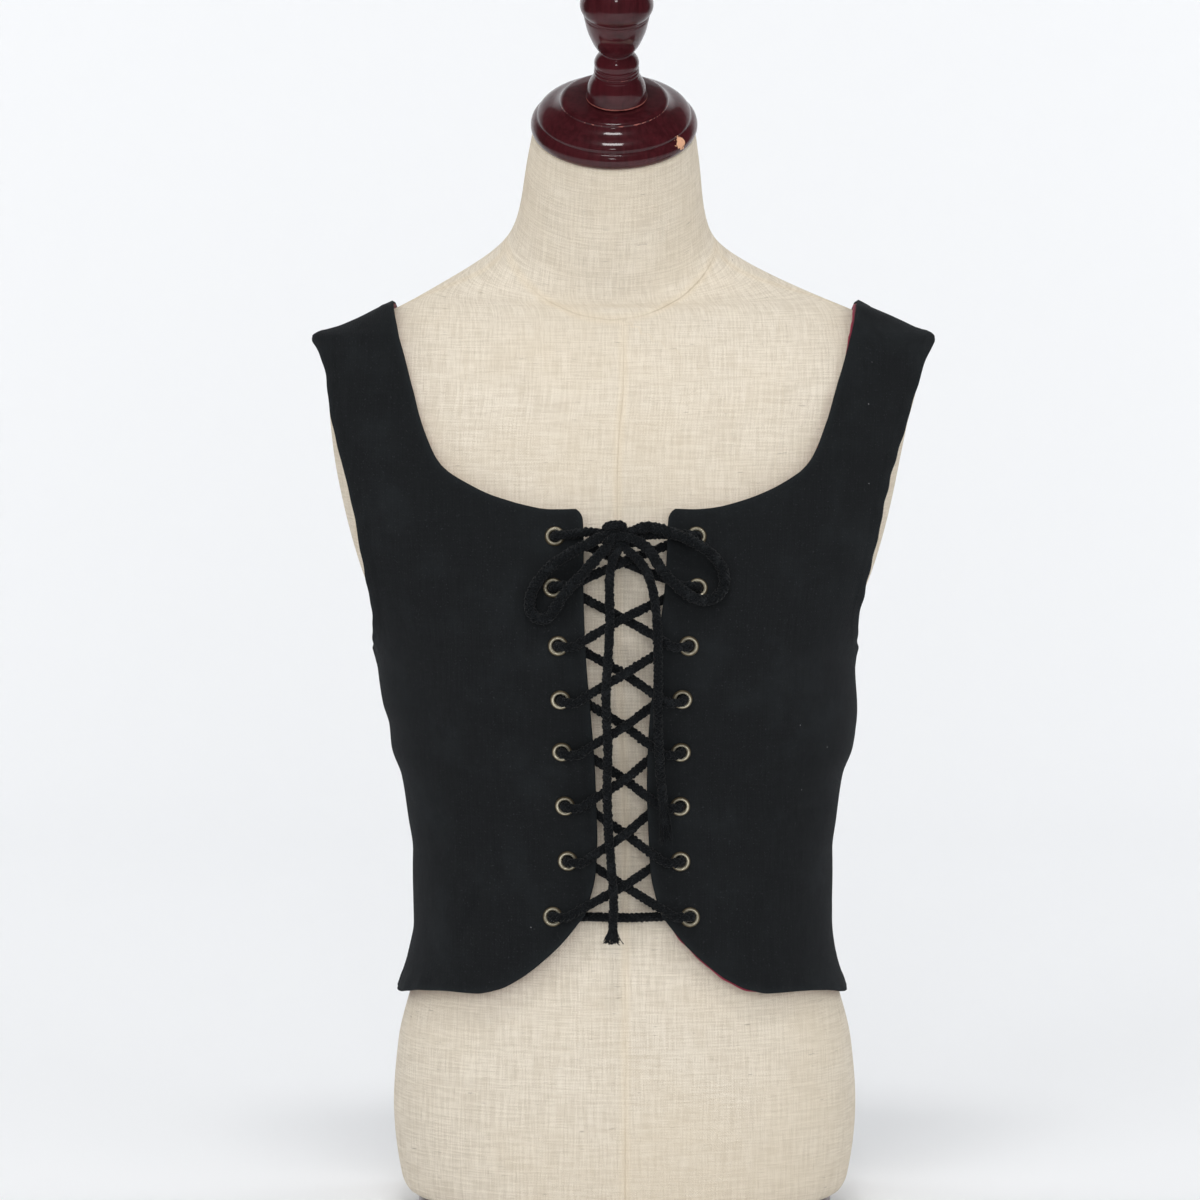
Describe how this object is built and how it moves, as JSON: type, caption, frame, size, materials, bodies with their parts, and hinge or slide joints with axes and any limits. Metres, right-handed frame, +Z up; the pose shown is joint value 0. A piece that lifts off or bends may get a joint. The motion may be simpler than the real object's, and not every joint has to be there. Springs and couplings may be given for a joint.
{
  "type": "laced waistcoat on a limbless dress form",
  "caption": "Front-laced sleeveless waistcoat worn on a limbless dress form with a turned wooden neck cap, standing on a flat board.",
  "frame": {"origin": "on the floor, under the middle of the whole part's box, with the flat board resting on z = 0", "axes": "+Z up, -Y towards someone who looks at the laced front, +X to that viewer's right"},
  "size_m": [0.399, 0.2453, 0.801],
  "materials": {
    "black_cloth": "matt black woven cotton",
    "red_lining": "dark red plain woven lining",
    "linen": "natural linen cover, plain weave with slubs",
    "dark_wood": "turned, stained dark red-brown and gloss varnished",
    "aged_brass": "aged brass, dulled in the recesses",
    "black_cord": "soft braided black cotton cord, slightly fuzzy"
  },
  "bodies": {
    "root": {"eyelet_left_1": "aged_brass", "eyelet_left_2": "aged_brass", "eyelet_left_3": "aged_brass", "eyelet_left_4": "aged_brass", "eyelet_left_5": "aged_brass", "eyelet_left_6": "aged_brass", "eyelet_left_7": "aged_brass", "eyelet_left_8": "aged_brass", "eyelet_right_1": "aged_brass", "eyelet_right_2": "aged_brass", "eyelet_right_3": "aged_brass", "eyelet_right_4": "aged_brass", "eyelet_right_5": "aged_brass", "eyelet_right_6": "aged_brass", "eyelet_right_7": "aged_brass", "eyelet_right_8": "aged_brass", "form_board": "dark_wood", "form_finial": "dark_wood", "form_neck_cap": "dark_wood", "form_torso": "linen", "lace_fray_left": "black_cord", "lace_fray_right": "black_cord", "lace_knot": "black_cord", "lace_lacing": "black_cord", "lace_loop_left": "black_cord", "lace_loop_right": "black_cord", "lace_tail_left": "black_cord", "lace_tail_right": "black_cord", "lining_hem_right": "red_lining", "lining_shoulder_right": "red_lining", "waistcoat_back": "black_cloth", "waistcoat_front_left": "black_cloth", "waistcoat_front_right": "black_cloth"}
  },
  "joints": []
}
